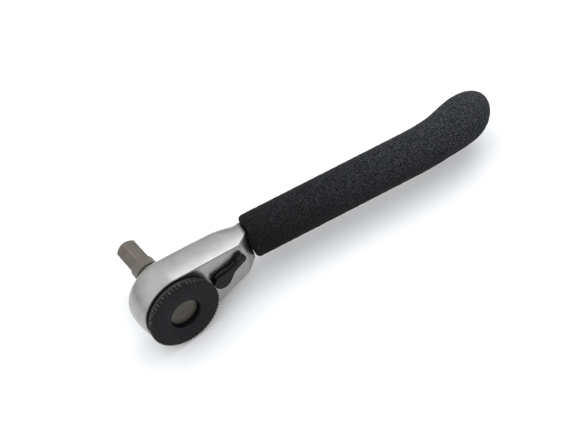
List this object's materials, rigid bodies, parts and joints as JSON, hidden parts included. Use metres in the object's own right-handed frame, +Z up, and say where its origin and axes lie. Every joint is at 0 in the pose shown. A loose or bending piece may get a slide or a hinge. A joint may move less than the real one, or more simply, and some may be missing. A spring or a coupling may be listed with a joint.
{
  "type": "hand bit ratchet",
  "caption": "Small hand ratchet for bits: teardrop head, knurled thumbwheel, reversing lever, hexagon key bit, and a bent handle in a foam grip.",
  "frame": {"origin": "middle of the footprint's box, at the level of the lowest point, with the tool lying on its side", "axes": "+X from the head towards the handle's end, +Y along the drive axis towards the bit's tip, +Z up, the side that the lever points to at rest"},
  "size_m": [0.1222, 0.045, 0.0232],
  "materials": {
    "satin_chrome": "satin, softly blasted",
    "black_steel": "black oxide, satin",
    "gear_steel": "hardened, warm grey",
    "bit_steel": "bead blasted, brownish grey",
    "spring_steel": "bright",
    "magnet": "nickel plated",
    "black_rubber": "matte",
    "black_foam": "fine open grain, matte"
  },
  "bodies": {
    "handle": {"ratchet_body": "satin_chrome", "foam_grip": "black_foam", "back_cover": "satin_chrome", "cover_screw_1": "spring_steel", "cover_screw_2": "spring_steel", "cover_screw_3": "spring_steel", "thrust_washer": "spring_steel", "pawl_pin": "spring_steel", "thumbwheel_seal": "black_rubber", "lever_seal": "black_rubber"},
    "drive": {"drive_gear": "gear_steel", "thumbwheel": "black_steel", "bit_magnet": "magnet"},
    "bit": {"hex_bit": "bit_steel"},
    "lever": {"reversing_lever": "black_steel", "lever_clip": "spring_steel", "pawl_spring": "spring_steel"},
    "plunger": {"pawl_plunger": "spring_steel"},
    "pawl": {"pawl": "gear_steel"}
  },
  "joints": [
    {"name": "drive_spin", "type": "hinge", "parent": "handle", "child": "drive", "pos_m": [-0.04947, -0.00242, 0.01159], "axis": [0, 1, 0], "continuous": true},
    {"name": "bit_pull", "type": "slide", "parent": "drive", "child": "bit", "axis": [0, 1, 0], "range_m": [0, 0.014]},
    {"name": "lever_swing", "type": "hinge", "parent": "handle", "child": "lever", "pos_m": [-0.03537, -0.00242, 0.01159], "axis": [0, 1, 0], "range_deg": [0, 36]},
    {"name": "plunger_press", "type": "slide", "parent": "lever", "child": "plunger", "axis": [0.9511, 0, 0.309], "range_m": [0, 0.00035], "stiffness_N_per_m": 20, "springref_m": -0.0002},
    {"name": "pawl_rock", "type": "hinge", "parent": "handle", "child": "pawl", "pos_m": [-0.04127, -0.00242, 0.01159], "axis": [0, 1, 0], "range_deg": [-16, 0]}
  ],
  "couplings": [
    {"joint": "pawl_rock", "follows": "lever_swing", "ratio": -0.44444}
  ]
}
